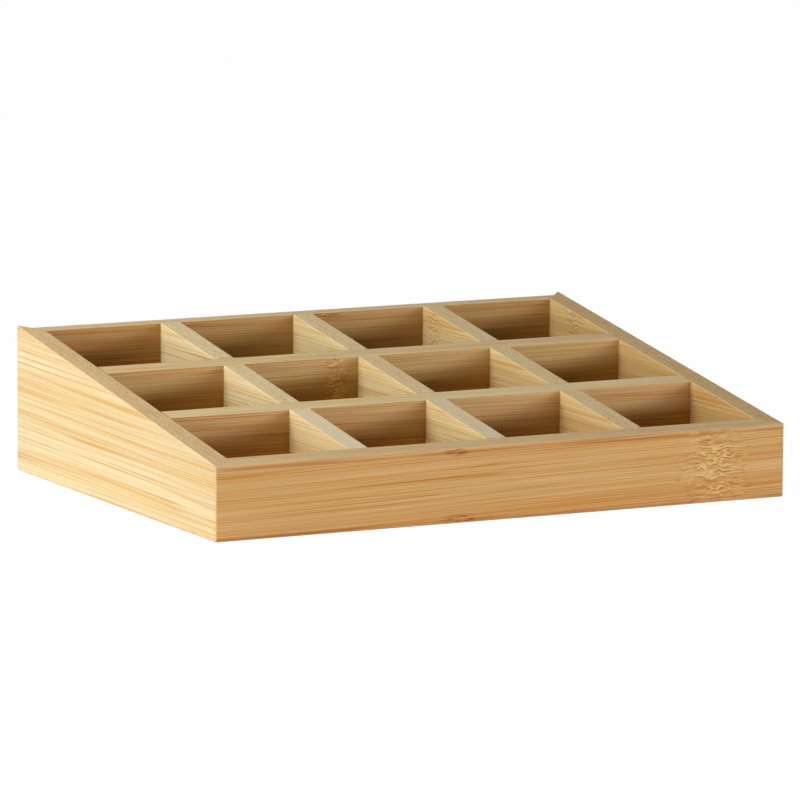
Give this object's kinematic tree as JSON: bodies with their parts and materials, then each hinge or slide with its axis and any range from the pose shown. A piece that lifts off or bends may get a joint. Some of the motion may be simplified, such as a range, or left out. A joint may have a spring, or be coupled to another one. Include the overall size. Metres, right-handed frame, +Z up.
{
  "type": "compartment display box",
  "caption": "Low wedge-shaped bamboo tray, open at the top and divided into a grid of square compartments that step up towards the back, for showing small packets on a counter.",
  "frame": {"origin": "on the table, under the middle of the box", "axes": "+X to the right as seen from the low front, +Y towards the tall back, +Z up"},
  "size_m": [0.34, 0.258, 0.0807],
  "materials": {
    "bamboo_board": "satin clear lacquer over laminated bamboo",
    "bamboo_panel": "satin bamboo plywood",
    "bamboo_spline": "plain sawn bamboo",
    "bamboo_dowel": "plain turned bamboo"
  },
  "bodies": {
    "root": {"front_board": "bamboo_board", "back_board": "bamboo_board", "left_side": "bamboo_board", "right_side": "bamboo_board", "front_rail": "bamboo_board", "rear_rail": "bamboo_board", "left_rib": "bamboo_board", "centre_rib": "bamboo_board", "right_rib": "bamboo_board", "bottom_panel": "bamboo_panel", "front_left_spline": "bamboo_spline", "front_right_spline": "bamboo_spline", "rear_left_spline": "bamboo_spline", "rear_right_spline": "bamboo_spline", "front_rail_dowel_left_lower": "bamboo_dowel", "front_rail_dowel_left_upper": "bamboo_dowel", "front_rail_dowel_right_lower": "bamboo_dowel", "front_rail_dowel_right_upper": "bamboo_dowel", "rear_rail_dowel_left_lower": "bamboo_dowel", "rear_rail_dowel_left_upper": "bamboo_dowel", "rear_rail_dowel_right_lower": "bamboo_dowel", "rear_rail_dowel_right_upper": "bamboo_dowel", "left_rib_dowel_front_lower": "bamboo_dowel", "left_rib_dowel_front_upper": "bamboo_dowel", "left_rib_dowel_back_lower": "bamboo_dowel", "left_rib_dowel_back_upper": "bamboo_dowel", "centre_rib_dowel_front_lower": "bamboo_dowel", "centre_rib_dowel_front_upper": "bamboo_dowel", "centre_rib_dowel_back_lower": "bamboo_dowel", "centre_rib_dowel_back_upper": "bamboo_dowel", "right_rib_dowel_front_lower": "bamboo_dowel", "right_rib_dowel_front_upper": "bamboo_dowel", "right_rib_dowel_back_lower": "bamboo_dowel", "right_rib_dowel_back_upper": "bamboo_dowel"}
  },
  "joints": []
}
